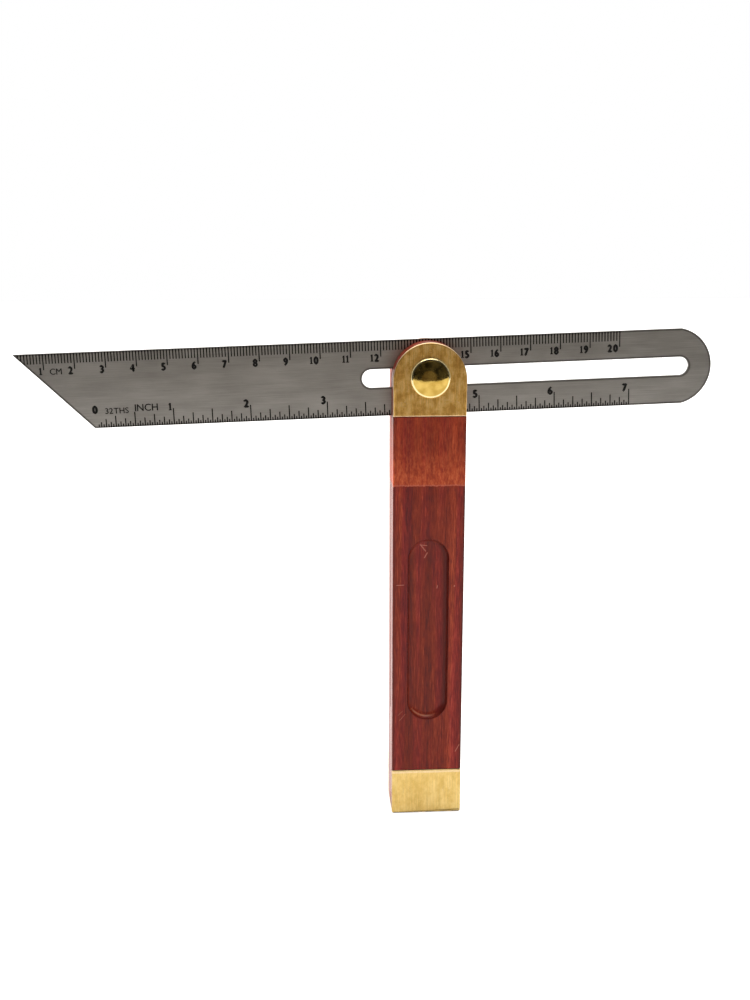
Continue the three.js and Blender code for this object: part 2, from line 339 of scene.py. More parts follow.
def bar(radius, front, back, x=0.0, z=0.0):
    """A round bar along the Y axis."""
    return slab("bar", arc((x, z), radius, 0, 2 * math.pi)[:-1], front, back)


def join_rings(bm, rings, closed=True):
    """Faces from each ring to the next; a closed ring's last point joins its first."""
    loops = [[bm.verts.new(point) for point in ring] for ring in rings]
    count = len(rings[0])
    for near, far in zip(loops, loops[1:]):
        for i in range(count if closed else count - 1):
            j = (i + 1) % count
            bm.faces.new((near[i], near[j], far[j], far[i]))
    return loops


def loft(name, rings):
    """Joins rings of equal length, and closes both ends."""
    bm = bmesh.new()
    loops = join_rings(bm, rings)
    bm.faces.new(loops[0])
    bm.faces.new(loops[-1])
    bmesh.ops.remove_doubles(bm, verts=bm.verts, dist=WELD)
    return mesh_object(name, bm)


def circle_ring(radius, y, flat=None):
    """One ring about the Y axis; flat limits it to that far from the axis along Z."""
    ring = []
    for x, z in arc((0, 0), radius, 0, 2 * math.pi, ROUND_STEPS)[:-1]:
        if flat is not None:
            z = max(-flat, min(flat, z))
        ring.append((x, y, z))
    return ring


def turned(name, profile):
    """A closed profile of (radius, y) turned about the Y axis."""
    bm = bmesh.new()
    verts = [bm.verts.new((radius, y, 0)) for radius, y in profile]
    edges = [bm.edges.new((verts[i - 1], verts[i])) for i in range(len(verts))]
    bmesh.ops.spin(
        bm, geom=verts + edges, cent=(0, 0, 0), axis=(0, 1, 0), angle=2 * math.pi, steps=ROUND_STEPS
    )
    bmesh.ops.remove_doubles(bm, verts=bm.verts, dist=WELD)
    return mesh_object(name, bm)


# ---- node helpers ----

class Graph:
    """A material's or the world's nodes, with short ways to add them."""

    def __init__(self, owner, swung=False):
        owner.use_nodes = True
        self.tree = owner.node_tree
        self.swung = swung

    def add(self, kind, inputs=None, **settings):
        node = self.tree.nodes.new("ShaderNode" + kind)
        for name, value in settings.items():
            setattr(node, name, value)
        for key, value in (inputs or {}).items():
            self.plug(node.inputs[key], value)
        return node

    def plug(self, socket, value):
        if isinstance(value, bpy.types.NodeSocket):
            self.tree.links.new(value, socket)
        else:
            socket.default_value = value

    def place(self, scale=(1, 1, 1), offset=(0, 0, 0)):
        """Object coordinates in millimetres, stretched; swung ones turn with the blade's tilt."""
        vector = self.add("TexCoord").outputs["Object"]
        if self.swung:
            inputs = {"Vector": vector, "Location": PIVOT, "Rotation": (0, -BLADE_TILT, 0)}
            vector = self.add("Mapping", inputs, vector_type="TEXTURE").outputs["Vector"]
        size = tuple(value / MM for value in scale)
        inputs = {"Vector": vector, "Scale": size, "Location": offset}
        return self.add("Mapping", inputs).outputs["Vector"]

    def noise(self, scale, detail=3.0, roughness=0.55, distortion=0.0, offset=(0, 0, 0)):
        """Cloudy values; the scale is how many clouds there are to a millimetre along X, Y and Z."""
        inputs = {"Detail": detail, "Roughness": roughness, "Distortion": distortion}
        inputs.update({"Vector": self.place(scale, offset), "Scale": 1.0})
        return self.add("TexNoise", inputs).outputs["Fac"]

    def axes(self):
        """The surface's own X, Y and Z in millimetres, by name."""
        return self.add("SeparateXYZ", {0: self.place()}).outputs

    def math(self, operation, a, b=0.0):
        return self.add("Math", {0: a, 1: b}, operation=operation).outputs[0]

    def times(self, a, b):
        return self.math("MULTIPLY", a, b)

    def plus(self, a, b):
        return self.math("ADD", a, b)

    def minus(self, a, b):
        return self.math("SUBTRACT", a, b)

    def larger(self, a, b):
        return self.math("MAXIMUM", a, b)

    def absolute(self, a):
        return self.math("ABSOLUTE", a)

    def distance(self, a, b):
        """How far the point (a, b) is from (0, 0)."""
        return self.math("SQRT", self.plus(self.math("POWER", a, 2.0), self.math("POWER", b, 2.0)))

    def from_spine(self, along, across, half):
        """How far the point (along, across) is from a straight line of that half length through (0, 0)."""
        beyond = self.larger(self.minus(self.absolute(along), half), 0.0)
        return self.distance(across, beyond)

    def ranged(self, value, low, high, out_low=0.0, out_high=1.0, smooth=False):
        """Maps the values from low to high onto out_low to out_high, and holds them beyond."""
        inputs = {"Value": value, "From Min": low, "From Max": high, "To Min": out_low, "To Max": out_high}
        kind = "SMOOTHSTEP" if smooth else "LINEAR"
        return self.add("MapRange", inputs, interpolation_type=kind, clamp=True).outputs[0]

    def ramp(self, factor, stops):
        node = self.add("ValToRGB", {"Fac": factor})
        elements = node.color_ramp.elements
        while len(elements) < len(stops):
            elements.new(1.0)
        for element, (position, colour) in zip(elements, stops):
            element.position = position
            element.color = (*colour, 1)
        return node.outputs["Color"]

    def mix(self, factor, a, b, blend="MIX"):
        """Two colours mixed; sockets 6 and 7 are the node's colour inputs."""
        node = self.add("Mix", {0: factor}, data_type="RGBA", blend_type=blend)
        for index, colour in ((6, a), (7, b)):
            linked = isinstance(colour, bpy.types.NodeSocket)
            self.plug(node.inputs[index], colour if linked else (*colour, 1))
        return node.outputs[2]

    def bump(self, height, distance, strength=1.0, normal=None):
        inputs = {"Height": height, "Distance": distance, "Strength": strength}
        if normal is not None:
            inputs["Normal"] = normal
        return self.add("Bump", inputs).outputs["Normal"]


def surface(name, build, swung=False, **constants):
    """A material whose Principled shader takes constants on its sockets and the rest from build()."""
    material = bpy.data.materials.new(name)
    graph = Graph(material, swung)
    shader = graph.tree.nodes["Principled BSDF"]
    for key, value in constants.items():
        shader.inputs[key.replace("_", " ")].default_value = value
    for key, value in build(graph).items():
        graph.plug(shader.inputs[key], value)
    return material


# ---- colours, as linear red, green and blue; stops give the places of colours on a ramp ----

WOOD_STOPS = (
    (0.48, (0.074, 0.0110, 0.0085)),
    (0.59, (0.142, 0.0175, 0.0085)),
    (0.67, (0.208, 0.0270, 0.0115)),
    (0.80, (0.360, 0.0620, 0.0250)),
)
CRIMSON_TINT = (1.04, 0.74, 1.45)  # multiplies the colour of the wood's redder streaks
# Painted shade for the front face's long rounded edges
ARRIS_SHADE = (0.060, 0.0090, 0.0070)
# Painted shade in the groove, and a painted highlight in its lower end
GROOVE_SHADE = (0.070, 0.0090, 0.0080)
GROOVE_HIGHLIGHT = (0.45, 0.17, 0.10)
WOOD_PORE = (0.05, 0.007, 0.008)
WOOD_SCUFF = (0.42, 0.13, 0.09)
WOOD_SCRATCH = (0.42, 0.14, 0.10)
BARE_WOOD_STOPS = (
    (0.37, (0.23, 0.030, 0.013)),
    (0.50, (0.40, 0.066, 0.022)),
    (0.62, (0.56, 0.120, 0.044)),
)
LACQUER_LIP = (0.46, 0.15, 0.11)
# Brass shades are dark, middle and light
FACING_SHADES = ((0.54, 0.285, 0.066), (0.77, 0.45, 0.122), (0.91, 0.60, 0.22))
STRAP_SHADES = ((0.73, 0.49, 0.148), (0.81, 0.57, 0.195), (0.88, 0.65, 0.255))
# Painted highlight on the brass's rounded rims
RIM_HIGHLIGHT_BRASS = (1.0, 0.85, 0.60)
# Painted highlight: a pale line along the joints of the brass with the wood
JOINT_HIGHLIGHT = (0.90, 0.68, 0.42)
# Darkens the brass in patches along its lowest 0.75 mm
BRASS_LOW_DARK = (0.12, 0.07, 0.025)
DOME_STOPS = ((0.38, (0.45, 0.285, 0.058)), (0.62, (0.63, 0.43, 0.11)))
# Painted highlight ring round the dome's rim
DOME_HIGHLIGHT_RING = (1.0, 0.86, 0.48)
STEEL_STOPS = ((0.39, (0.34, 0.32, 0.30)), (0.50, (0.425, 0.405, 0.38)), (0.61, (0.51, 0.487, 0.46)))
STEEL_SPECK = (0.85, 0.84, 0.82)
# Painted shade along the blade's rims
STEEL_RIM_SHADE = (0.06, 0.055, 0.05)
INK_STOPS = ((0.35, (0.004, 0.004, 0.004)), (0.75, (0.016, 0.015, 0.014)))
FLOOR_STOPS = ((0.3, (0.83, 0.83, 0.825)), (0.7, (0.86, 0.86, 0.86)))
CARD_STOPS = ((0.35, (0.15, 0.125, 0.095)), (0.65, (0.19, 0.165, 0.13)))


# ---- materials: g is a material's Graph, and bare sizes are in millimetres ----

STREAK_WEIGHT = 0.26
BAND_WEIGHT = 0.30
FIBRE_WEIGHT = 0.70
SANDED_LINE_WANDER = 0.8  # up and down together
HIGHLIGHT_INWARD = 0.75  # where the groove's painted highlight runs, from the groove's edge
# The strap's painted highlight line lies this far below its joint
HIGHLIGHT_BELOW_CAP_JOINT = 0.6
RIM_FULL = 0.45  # the blade's rims are painted dark, as shade, this far in, and fade out by RIM_END
LOWER_RIM_FULL = 0.40
RIM_END = 0.75
RIM_SHARE = 0.8


def wood_tone(g):
    """Light and dark streaks that run the stock's whole length, with finer fibres over them."""
    wander = g.times(g.minus(g.noise((0.04, 0.04, 0.012), detail=2), 0.5), 2.0)
    from_left = g.plus(g.plus(g.axes()["X"], wander), HALF_WIDTH / MM)
    share = g.math("DIVIDE", from_left, 2 * HALF_WIDTH / MM)
    # Grain streaks, two of whose dark stops are painted shade of the groove, drawn along the whole length
    streaks_and_shade = g.ramp(share, [(place, (level, level, level)) for place, level in WOOD_STREAKS_AND_GROOVE_SHADE])
    bands = g.noise((0.8, 0.8, 0.03), detail=5, roughness=0.7, distortion=0.3)
    fibres = g.noise((2.6, 2.6, 0.16), detail=5, roughness=0.75, offset=(4, 1, 7))
    tone = g.plus(g.times(streaks_and_shade, STREAK_WEIGHT), g.times(bands, BAND_WEIGHT))
    return g.plus(tone, g.times(fibres, FIBRE_WEIGHT)), fibres


def sanded_nodes(g, colour):
    """Bare orange wood in the band round the head, clearest at its foot, where it ends in a line."""
    ragged = g.times(g.noise((1.1, 1.1, 0.1), detail=2, offset=(7, 2, 2)), SANDED_LINE_WANDER)
    line = g.plus(ragged, (PIVOT.z - SANDED_BELOW_PIVOT) / MM - SANDED_LINE_WANDER / 2)
    above = g.minus(g.axes()["Z"], line)
    sanded = g.ranged(above, -0.1, 0.25, smooth=True)
    near_line = g.ranged(above, 0.0, 16.0, 0.70, 0.18, smooth=True)
    bare = g.ramp(g.noise((1.6, 1.6, 0.5), detail=5, roughness=0.7), BARE_WOOD_STOPS)
    colour = g.mix(g.times(sanded, near_line), colour, bare)
    lip = g.times(sanded, g.ranged(above, 0.35, 0.7, 0.30, 0.0))
    return g.mix(lip, colour, LACQUER_LIP), sanded


def scratch(g, x, z, angle, length, width):
    """1 along one short straight scratch in the front face, 0 elsewhere; the angle is from X."""
    axes = g.axes()
    dx = g.minus(axes["X"], x)
    dz = g.minus(axes["Z"], z)
    cos, sin = math.cos(angle), math.sin(angle)
    along = g.plus(g.times(dx, cos), g.times(dz, sin))
    off = g.minus(g.times(dz, cos), g.times(dx, sin))
    on_line = g.ranged(g.absolute(off), width * 0.5, width, 1.0, 0.0)
    in_length = g.ranged(g.absolute(along), length * 0.42, length * 0.5, 1.0, 0.0)
    in_front = g.ranged(axes["Y"], -1.0, 0.0, 1.0, 0.0)
    return g.times(g.times(on_line, in_length), in_front)


def scratches(g, colour):
    marks = 0.0
    for x, below_pivot, degrees, length, width in SCRATCHES:
        mark = scratch(g, x, PIVOT.z / MM - below_pivot, math.radians(degrees), length, width)
        marks = g.larger(marks, mark)
    return g.mix(g.times(marks, 0.75), colour, WOOD_SCRATCH)


def handled_edges(g, colour):
    """Painted shade along both long rounded edges of the front face."""
    axes = g.axes()
    side = HALF_WIDTH / MM
    front = FRONT / MM
    # Painted shade: darker from 1.2 mm inside each long edge, strongest at 0.3 mm
    shaded = g.ranged(g.absolute(axes["X"]), side - 1.2, side - 0.3, 0.0, 0.85)
    in_front = g.ranged(axes["Y"], front + 0.3, front + 1.0, 1.0, 0.0)
    return g.mix(g.times(shaded, in_front), colour, ARRIS_SHADE)


def groove_marks(g, colour):
    """Painted shade on the groove's right wall and round its mouth, and a painted highlight arc in its
    lower end.
    """
    axes = g.axes()
    straight = (GROOVE_LENGTH - GROOVE_WIDTH) / MM / 2
    from_middle = g.minus(axes["Z"], (PIVOT.z - GROOVE_CENTRE_BELOW_PIVOT) / MM)
    inward = g.minus(GROOVE_WIDTH / MM / 2, g.from_spine(from_middle, axes["X"], straight))
    # Painted shade: darker round the groove's mouth and on its right wall
    mouth = g.ranged(g.absolute(inward), 0.05, 0.35, 0.45, 0.0)
    wall = g.times(g.ranged(inward, 1.2, 2.4, 1.0, 0.0), g.ranged(inward, -0.1, 0.1))
    wall = g.times(wall, g.ranged(axes["X"], 1.0, 5.0, 0.0, 0.7))
    colour = g.mix(g.larger(mouth, wall), colour, GROOVE_SHADE)
    # Painted highlight: a pale arc in the groove's lower end
    groove_highlight = g.ranged(g.absolute(g.minus(inward, HIGHLIGHT_INWARD)), 0.1, 0.35, 1.0, 0.0)
    groove_highlight = g.times(groove_highlight, g.ranged(from_middle, -straight - 4.5, -straight - 3.0, 1.0, 0.0))
    groove_highlight = g.times(groove_highlight, g.ranged(axes["X"], 0.0, 3.0, 0.55, 0.0))
    return g.mix(groove_highlight, colour, GROOVE_HIGHLIGHT)


def wood_nodes(g):
    tone, fibres = wood_tone(g)
    colour = g.ramp(tone, WOOD_STOPS)
    crimson = g.ranged(g.noise((0.28, 0.28, 0.008), detail=3, offset=(9, 4, 1)), 0.44, 0.58, 0.0, 0.75)
    colour = g.mix(crimson, colour, CRIMSON_TINT, "MULTIPLY")
    colour = handled_edges(g, colour)
    colour = groove_marks(g, colour)
    pores = g.ranged(g.noise((7, 7, 0.45), detail=3, offset=(2, 8, 5)), 0.58, 0.68)
    colour = g.mix(g.times(pores, 0.6), colour, WOOD_PORE)
    colour, sanded = sanded_nodes(g, colour)
    scuffs = g.ranged(g.noise((1.6, 1.6, 1.2), detail=6, roughness=0.8, offset=(5, 5, 5)), 0.69, 0.78)
    colour = g.mix(g.times(scuffs, 0.35), colour, WOOD_SCUFF)
    colour = scratches(g, colour)
    rough = g.plus(g.plus(g.times(sanded, 0.12), g.times(fibres, 0.22)), 0.10)
    relief = g.minus(g.times(fibres, 0.45), pores)
    return {"Base Color": colour, "Roughness": rough, "Normal": g.bump(relief, 0.03 * MM, 0.7)}


def worn_edges(g, colour, face):
    """A painted highlight on the brass where a rim rounds away from its face, which is this far from the
    middle.
    """
    depth = g.absolute(g.axes()["Y"])
    rim_lit = g.ranged(depth, face / MM - 0.30, face / MM - 0.10, 0.85, 0.0)
    rim_lit = g.times(rim_lit, g.ranged(depth, face / MM - 0.9, face / MM - 0.6))
    return g.mix(rim_lit, colour, RIM_HIGHLIGHT_BRASS)


def left_polish(g, joint, amount):
    """The share of a painted highlight, a pale thin line along a facing's joint with the wood."""
    off = g.absolute(g.minus(g.axes()["Z"], joint / MM))
    ragged = g.ranged(g.noise((0.9, 0.9, 0.9), detail=3, offset=(2, 2, 9)), 0.35, 0.55, 0.55, 1.0)
    return g.times(g.ranged(off, 0.32, 0.52, amount, 0.0), ragged)


def brass_nodes(g, scale, shades, rough, scratch_depth, spread=0.5, facing=None):
    """Brass with fine scratches, which run along the axes on which their scale is small.

    A facing is its face's distance from the middle, the height of its joint and the strength of the painted
    highlight line there.
    """
    dark, middle, light = shades
    fine = tuple(value * 2.7 for value in scale)
    scratched = tuple(value * 0.55 for value in dark)
    pitted = tuple(value * 0.35 for value in dark)
    lines = g.noise(scale, detail=4, roughness=0.75)
    hairs = g.noise(fine, detail=2, roughness=0.6, offset=(3, 1, 2))
    patina = g.noise((0.40, 0.40, 0.25), detail=5, roughness=0.70, offset=(1, 6, 2))
    colour = g.ramp(patina, ((0.39, dark), (0.50, middle), (0.62, light)))
    colour = g.mix(g.ranged(lines, 0.38, 0.66, 0.0, spread), colour, scratched)
    pits = g.ranged(g.noise((1.9, 1.9, 0.9), detail=4, roughness=0.7, offset=(6, 6, 1)), 0.62, 0.72)
    colour = g.mix(g.times(pits, 0.35), colour, pitted)
    metal = 1.0
    if facing is not None:
        face, joint, amount = facing
        # Painted highlight on the rounded rims
        colour = worn_edges(g, colour, face)
        # Darker in patches along the lowest 0.75 mm, which only the strap reaches
        low_dark = g.times(g.ranged(g.axes()["Z"], 0.45, 0.75, 1.0, 0.0), g.ranged(patina, 0.42, 0.52))
        colour = g.mix(g.times(low_dark, 0.9), colour, BRASS_LOW_DARK)
        # Painted highlight: a pale, less metallic line along the joint
        pale_highlight = left_polish(g, joint, amount)
        colour = g.mix(pale_highlight, colour, JOINT_HIGHLIGHT)
        metal = g.minus(1.0, pale_highlight)
    low, high = rough
    roughness = g.ranged(hairs, 0.3, 0.7, low, high)
    relief = g.plus(lines, g.times(hairs, 0.6))
    normal = g.bump(relief, scratch_depth, 0.6)
    return {"Base Color": colour, "Metallic": metal, "Roughness": roughness, "Normal": normal}


def facing_nodes(g):
    facing = (BACK, PLATE_BOTTOM, 0.9)
    return brass_nodes(g, (6, 6, 0.09), FACING_SHADES, (0.42, 0.58), 0.008 * MM, 0.75, facing)


def strap_nodes(g):
    facing = (CAP_OUT, CAP_TOP - HIGHLIGHT_BELOW_CAP_JOINT * MM, 0.6)
    return brass_nodes(g, (4, 4, 0.07), STRAP_SHADES, (0.26, 0.40), 0.008 * MM, 0.4, facing)


def turned_nodes(g):
    return brass_nodes(g, (1.5, 9, 1.5), STRAP_SHADES, (0.22, 0.34), 0.003 * MM)


def cast_nodes(g):
    return brass_nodes(g, (0.9, 0.9, 0.9), STRAP_SHADES, (0.14, 0.26), 0.002 * MM, 0.3)


def dome_nodes(g):
    """Hand-polished brass: a little uneven, with hair scratches and a painted highlight ring round its rim,
    less metallic at its outer part.
    """
    axes = g.axes()
    radius = g.distance(axes["X"], axes["Z"])
    ring = (DOME_RADIUS - DOME_RIM) / MM
    edge = DOME_RADIUS / MM
    uneven = g.noise((0.28, 0.28, 0.28), detail=2, roughness=0.5)
    # Painted highlight: a bright ring round the rim, less metallic near its outer edge
    colour = g.mix(g.ranged(radius, ring - 0.25, ring, 0.0, 0.85), g.ramp(uneven, DOME_STOPS), DOME_HIGHLIGHT_RING)
    pale_highlight = g.ranged(radius, edge - 0.55, edge - 0.3, 0.0, 0.2)
    rough = g.ranged(g.noise((0.9, 0.9, 0.9), detail=3, offset=(6, 2, 2)), 0.3, 0.7, 0.09, 0.18)
    waves = g.bump(uneven, 0.05 * MM, 1.0)
    hairs = g.ranged(g.noise((1.2, 1.2, 9), detail=3, offset=(3, 3, 1)), 0.60, 0.75)
    normal = g.bump(hairs, 0.001 * MM, 0.5, waves)
    metal = g.minus(1.0, pale_highlight)
    return {"Base Color": colour, "Metallic": metal, "Roughness": rough, "Normal": normal}


def lower_rims(g, axes):
    """1 along the blade's lower and slanted rims, where shade is painted."""
    half = BLADE_WIDTH / MM / 2
    low = g.plus(axes["Z"], half + BLADE_HANG / MM)
    from_tip = g.plus(axes["X"], (PIVOT_ALONG_BLADE - BLADE_TIP) / MM)
    from_top = g.plus(axes["Z"], BLADE_HANG / MM - half)
    slant = math.atan2(BLADE_BEVEL_RUN, BLADE_WIDTH)
    slanted = g.plus(g.times(from_tip, math.cos(slant)), g.times(from_top, math.sin(slant)))
    return g.ranged(g.math("MINIMUM", low, slanted), LOWER_RIM_FULL, RIM_END, 1.0, 0.0)


def other_rims(g, axes):
    """RIM_SHARE along the blade's upper rim, its slot's rim and its rounded end, where shade is painted."""
    half = BLADE_WIDTH / MM / 2
    from_top = g.plus(axes["Z"], BLADE_HANG / MM - half)
    dark = g.ranged(from_top, -RIM_END, -RIM_FULL, 0.0, RIM_SHARE)
    from_middle = g.plus(axes["Z"], BLADE_HANG / MM)
    slot_middle = (SLOT_START + SLOT_END) / MM / 2 - PIVOT_ALONG_BLADE / MM
    slot_half = (SLOT_END - SLOT_START - SLOT_WIDTH) / MM / 2
    slot_edge = SLOT_WIDTH / MM / 2
    from_slot = g.from_spine(g.minus(axes["X"], slot_middle), from_middle, slot_half)
    dark = g.larger(dark, g.ranged(from_slot, slot_edge + RIM_FULL, slot_edge + RIM_END, RIM_SHARE, 0.0))
    end_middle = (BLADE_LENGTH - BLADE_END_RADIUS - PIVOT_ALONG_BLADE) / MM
    end_edge = BLADE_END_RADIUS / MM
    from_end = g.distance(g.larger(g.minus(axes["X"], end_middle), 0.0), from_middle)
    return g.larger(dark, g.ranged(from_end, end_edge - RIM_END, end_edge - RIM_FULL, 0.0, RIM_SHARE))


def steel_nodes(g):
    lines = g.noise((0.05, 5, 5), detail=5, roughness=0.75)
    hairs = g.noise((0.2, 14, 14), detail=2, roughness=0.6, offset=(3, 1, 2))
    cloud = g.noise((0.05, 0.2, 0.2), detail=4, roughness=0.6)
    colour = g.ramp(g.plus(g.times(lines, 0.6), g.times(cloud, 0.4)), STEEL_STOPS)
    specks = g.ranged(g.noise((0.9, 2.2, 2.2), detail=5, roughness=0.8, offset=(8, 4, 4)), 0.70, 0.80)
    colour = g.mix(g.times(specks, 0.4), colour, STEEL_SPECK)
    axes = g.axes()
    # Painted shade: dark lines along every rim of the blade
    rims = g.larger(lower_rims(g, axes), other_rims(g, axes))
    colour = g.mix(g.times(rims, 0.8), colour, STEEL_RIM_SHADE)
    rough = g.ranged(hairs, 0.3, 0.7, 0.30, 0.46)
    relief = g.plus(lines, g.times(hairs, 0.5))
    return {"Base Color": colour, "Roughness": rough, "Normal": g.bump(relief, 0.006 * MM, 0.7)}


def ink_nodes(g):
    wear = g.noise((2.5, 2.5, 2.5), detail=4)
    return {"Base Color": g.ramp(wear, INK_STOPS), "Roughness": g.ranged(wear, 0.3, 0.7, 0.4, 0.6)}


def floor_nodes(g):
    return {"Base Color": g.ramp(g.noise((0.002, 0.002, 0.002), detail=2), FLOOR_STOPS)}


def card_nodes(g):
    return {"Emission Color": g.ramp(g.noise((0.004, 0.004, 0.004)), CARD_STOPS)}


WOOD = surface("lacquered_wood", wood_nodes, Coat_Weight=0.08, Coat_Roughness=0.15, Specular_IOR_Level=0.10)
BRASS = surface("brushed_brass", facing_nodes, Anisotropic=0.4)
STRAP_BRASS = surface("strap_brass", strap_nodes, Anisotropic=0.3)
TURNED_BRASS = surface("turned_brass", turned_nodes, swung=True)
DOME_BRASS = surface("polished_brass", dome_nodes, swung=True)
CAST_BRASS = surface("cast_brass", cast_nodes, swung=True)
STEEL = surface("brushed_steel", steel_nodes, swung=True, Metallic=1.0, Anisotropic=0.5)
INK = surface("scale_ink", ink_nodes, swung=True, Specular_IOR_Level=0.05)


def dress(obj, material):
    obj.data.materials.clear()
    obj.data.materials.append(material)


def finish_piece(obj, material, body, node, place=None):
    """Dresses a piece and puts it on its body, in place of its CAD node if it has one.

    The place is put into the mesh itself, so the object stays at the origin as the CAD nodes do.
    """
    if place is not None:
        obj.data.transform(place)
    even_normals(obj)
    dress(obj, material)
    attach(obj, body)
    if node:
        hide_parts(node)


# ---- stock and brass facings ----

def headed_outline(bottom):
    sides = [(-HALF_WIDTH, bottom), (HALF_WIDTH, bottom)]
    return sides + arc((0, HEAD_ARC_Z), HALF_WIDTH, 0, math.pi)


def middles(names):
    """The X and Z of each named CAD node's middle."""
    places = []
    for name in names:
        low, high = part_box(name)
        middle = (low + high) / 2
        places.append((middle.x, middle.z))
    return places


PIN_PLACES = middles(("plate_pin_front_top", "plate_pin_front_left", "plate_pin_front_right"))
RIVET_PLACES = middles(("cap_rivet_left", "cap_rivet_right"))


# Where the pins and rivets are, their radius, and from where to where their holes go
FRONT_PINS = (PIN_PLACES, PIN_RADIUS, FRONT - MM, FRONT + PIN_LENGTH + JOINT_LINE)
BACK_PINS = (PIN_PLACES, PIN_RADIUS, BACK - PIN_LENGTH - JOINT_LINE, BACK + MM)
RIVETS = (RIVET_PLACES, RIVET_RADIUS, FRONT - MM, BACK + MM)


def holes(places, radius, front, back):
    return [bar(radius + PIN_CLEARANCE, front, back, x, z) for x, z in places]


def groove_cutter(face_y, outward):
    """The coved thumb groove: full width at the face, rounding in to a flat floor.

    The face looks along Y in the direction that outward says, 1 or -1.
    """
    centre = PIVOT.z - GROOVE_CENTRE_BELOW_PIVOT
    levels = [(0.0, face_y + outward * MM)]
    for step in range(GROOVE_COVE_STEPS + 1):
        angle = math.pi / 2 * step / GROOVE_COVE_STEPS
        inset = GROOVE_DEPTH * (1 - math.cos(angle))
        levels.append((inset, face_y - outward * GROOVE_DEPTH * math.sin(angle)))
    rings = []
    for inset, y in levels:
        outline = obround(GROOVE_WIDTH - 2 * inset, GROOVE_LENGTH - 2 * inset)
        rings.append([(x, y, z + centre) for x, z in outline])
    return loft("groove", rings)


def stock():
    """The wooden body, cut for the kerf, the brass, the bolt, both grooves, the pins and the rivets."""
    inlay = PLATE_THICKNESS + JOINT_LINE
    far = 3 * HALF_WIDTH
    top = PIVOT.z + far
    cap_inlay = inlay - (CAP_OUT - BACK)
    body = slab("wooden_stock", headed_outline(STOCK_BOTTOM), FRONT, BACK, STOCK_ARRIS)
    kerf_bottom = PIVOT.z - KERF_DEPTH_BELOW_PIVOT
    cut(body, [
        block(far, -KERF_WIDTH / 2, KERF_WIDTH / 2, kerf_bottom, top),
        block(far, FRONT - MM, FRONT + inlay, PLATE_BOTTOM - JOINT_LINE, top),
        block(far, BACK - inlay, BACK + MM, PLATE_BOTTOM - JOINT_LINE, top),
        block(far, FRONT - MM, FRONT + cap_inlay, -MM, CAP_TOP + CAP_JOINT),
        block(far, BACK - cap_inlay, BACK + MM, -MM, CAP_TOP + CAP_JOINT),
        bar(SHANK_RADIUS + TURNING_CLEARANCE, FRONT - MM, 0, 0, PIVOT.z),
        bar(THREAD_RADIUS + TURNING_CLEARANCE, 0, BACK + MM, 0, PIVOT.z),
        groove_cutter(FRONT, -1),
        groove_cutter(BACK, 1),
        *holes(*FRONT_PINS),
        *holes(*BACK_PINS),
        *holes(*RIVETS),
    ])
    finish_piece(body, WOOD, "stock", "stock_body")


def head_plates():
    sides = (
        ("front", FRONT, FRONT + PLATE_THICKNESS, SHANK_RADIUS, FRONT_PINS),
        ("back", BACK - PLATE_THICKNESS, BACK, THREAD_RADIUS, BACK_PINS),
    )
    for side, near, far, bolt_radius, pins in sides:
        plate = slab("head_facing_" + side, headed_outline(PLATE_BOTTOM), near, far, PLATE_EDGE_RADIUS)
        hole = bar(bolt_radius + TURNING_CLEARANCE, near - MM, far + MM, 0, PIVOT.z)
        cut(plate, [hole, *holes(*pins)])
        finish_piece(plate, BRASS, "stock", "head_plate_" + side)


def rounded_bottom(half, radius):
    """The two rounded lower corners of an outline that stands on z = 0."""
    left = arc((-half + radius, radius), radius, math.pi, 1.5 * math.pi, CAP_BEND_STEPS)
    return left + arc((half - radius, radius), radius, -math.pi / 2, 0, CAP_BEND_STEPS)


def end_cap():
    """A strap bent to a U over the stock's end, its bottom corners rounded in the front view."""
    inner = CAP_OUT - PLATE_THICKNESS
    outline = rounded_bottom(CAP_OUT, CAP_BEND_RADIUS)
    outline += [(CAP_OUT, CAP_TOP), (inner, CAP_TOP), (inner, PLATE_THICKNESS)]
    outline += [(-inner, PLATE_THICKNESS), (-inner, CAP_TOP), (-CAP_OUT, CAP_TOP)]
    strap = slab("end_cap_strap", outline, -HALF_WIDTH, HALF_WIDTH)
    strap.data.transform(Matrix.Rotation(math.radians(90), 4, "Z"))
    sides = rounded_bottom(HALF_WIDTH, CAP_CORNER_RADIUS)
    sides += [(HALF_WIDTH, CAP_TOP + MM), (-HALF_WIDTH, CAP_TOP + MM)]
    combine(strap, [slab("sides", sides, -2 * CAP_OUT, 2 * CAP_OUT)], "INTERSECT")
    round_edges(strap, CAP_EDGE_RADIUS)
    cut(strap, holes(*RIVETS))
    finish_piece(strap, STRAP_BRASS, "stock", "end_cap")


def pins_and_rivets():
    """These keep their CAD shapes."""
    for name, node in frame["nodes"].items():
        if name.startswith("plate_pin_"):
            dress(node, BRASS)
        elif name.startswith("cap_rivet_"):
            dress(node, STRAP_BRASS)


# ---- blade ----

